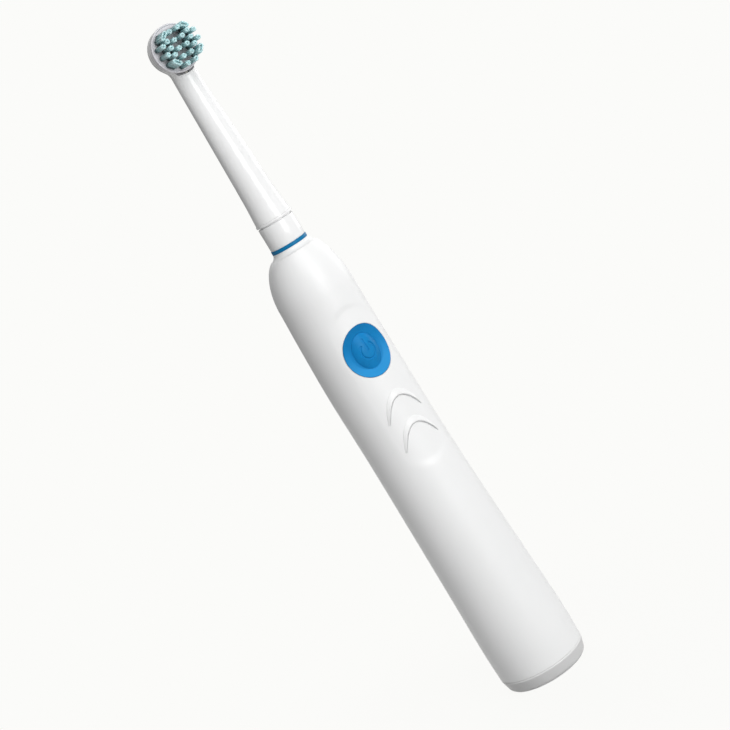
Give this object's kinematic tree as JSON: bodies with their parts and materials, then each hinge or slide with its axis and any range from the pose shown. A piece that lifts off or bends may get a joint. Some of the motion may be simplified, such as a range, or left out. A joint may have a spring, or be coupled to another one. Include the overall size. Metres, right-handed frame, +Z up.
{
  "type": "electric toothbrush handset",
  "caption": "Rechargeable handset with a round oscillating brush head that pulls off, an oval push button and a round end cap that stands upright over a charging post.",
  "frame": {"origin": "centre of the end cap's resting face, on the axis of the charging well", "axes": "+Z up the handle towards the brush head, -Y the front with the button and the bristles, +X to the right seen from the front"},
  "size_m": [0.0288, 0.0303, 0.2285],
  "materials": {
    "white_plastic": "moulded white ABS, fine gloss",
    "grey_plastic": "moulded light grey, satin",
    "blue_rubber": "overmoulded blue elastomer, satin",
    "blue_plastic": "moulded blue ring, satin",
    "aqua_bristle": "pale aqua nylon filament",
    "natural_plastic": "natural acetal",
    "black_rubber": "nitrile seal",
    "steel": "ground steel",
    "brass": "turned brass",
    "copper_wire": "enamelled copper winding",
    "nickel": "nickel-plated strip",
    "magnet": "coated ferrite",
    "green_board": "solder resist on glass laminate",
    "black_plastic": "moulded black",
    "battery_sleeve": "shrink sleeve"
  },
  "bodies": {
    "handle": {"handle_housing": "white_plastic", "end_cap": "grey_plastic", "cap_seal": "black_rubber", "handle_collar": "white_plastic", "button_bezel": "blue_rubber", "coil_bobbin": "natural_plastic", "charging_coil": "copper_wire", "chassis": "natural_plastic", "battery_cell": "battery_sleeve", "battery_tab_lower": "nickel", "battery_tab_upper": "nickel", "motor_can": "steel", "motor_end_bell": "black_plastic", "motor_magnet_left": "magnet", "motor_magnet_right": "magnet", "motor_screw_side": "steel", "motor_screw_rear": "steel", "circuit_board": "green_board", "controller_chip": "black_plastic", "switch_body": "black_plastic", "board_screw_lower": "steel", "board_screw_upper": "steel", "lower_bush": "brass", "upper_bush": "brass", "shaft_seal": "black_rubber", "gear_axle": "steel"},
    "motor_rotor": {"motor_shaft": "steel", "motor_armature": "copper_wire", "drive_pinion": "brass"},
    "crank": {"crank_gear": "natural_plastic"},
    "rocker": {"drive_shaft": "steel", "rocker_lever": "natural_plastic"},
    "button": {"power_button": "blue_rubber", "switch_plunger": "natural_plastic"},
    "brush_head": {"head_shell": "white_plastic", "neck_collar": "white_plastic", "color_ring": "blue_plastic", "disc_pivot_pin": "steel"},
    "head_rod": {"head_crank_rod": "natural_plastic"},
    "brush": {"brush_disc": "white_plastic", "bristle_tufts": "aqua_bristle"}
  },
  "joints": [
    {"name": "motor_turn", "type": "hinge", "parent": "handle", "child": "motor_rotor", "pos_m": [0, 0.00523, 0.09], "axis": [0, 0, 1], "range_deg": [-198, 198]},
    {"name": "crank_turn", "type": "hinge", "parent": "handle", "child": "crank", "pos_m": [0.0052, 0.0015, 0.094], "axis": [0, 0, 1], "range_deg": [-90.5, 90.5]},
    {"name": "shaft_rock", "type": "hinge", "parent": "handle", "child": "rocker", "pos_m": [0, 0, 0.12], "axis": [0, 0, 1], "range_deg": [-20.5, 20.5]},
    {"name": "rod_rock", "type": "hinge", "parent": "brush_head", "child": "head_rod", "pos_m": [0, 0, 0.19], "axis": [0, 0, 1], "range_deg": [-20.5, 20.5]},
    {"name": "brush_turn", "type": "hinge", "parent": "brush_head", "child": "brush", "pos_m": [0, 0, 0.22115], "axis": [0, 1, 0], "range_deg": [-23, 23]},
    {"name": "head_pull", "type": "slide", "parent": "handle", "child": "brush_head", "axis": [0, 0, 1], "range_m": [0, 0.03]},
    {"name": "button_press", "type": "slide", "parent": "handle", "child": "button", "axis": [0, 1, 0], "range_m": [0, 0.00035], "stiffness_N_per_m": 2500}
  ],
  "couplings": [
    {"joint": "crank_turn", "follows": "motor_turn", "ratio": -0.45455},
    {"joint": "shaft_rock", "follows": "motor_turn", "ratio": -0.10101},
    {"joint": "rod_rock", "follows": "motor_turn", "ratio": -0.10101},
    {"joint": "brush_turn", "follows": "motor_turn", "ratio": -0.11364}
  ]
}
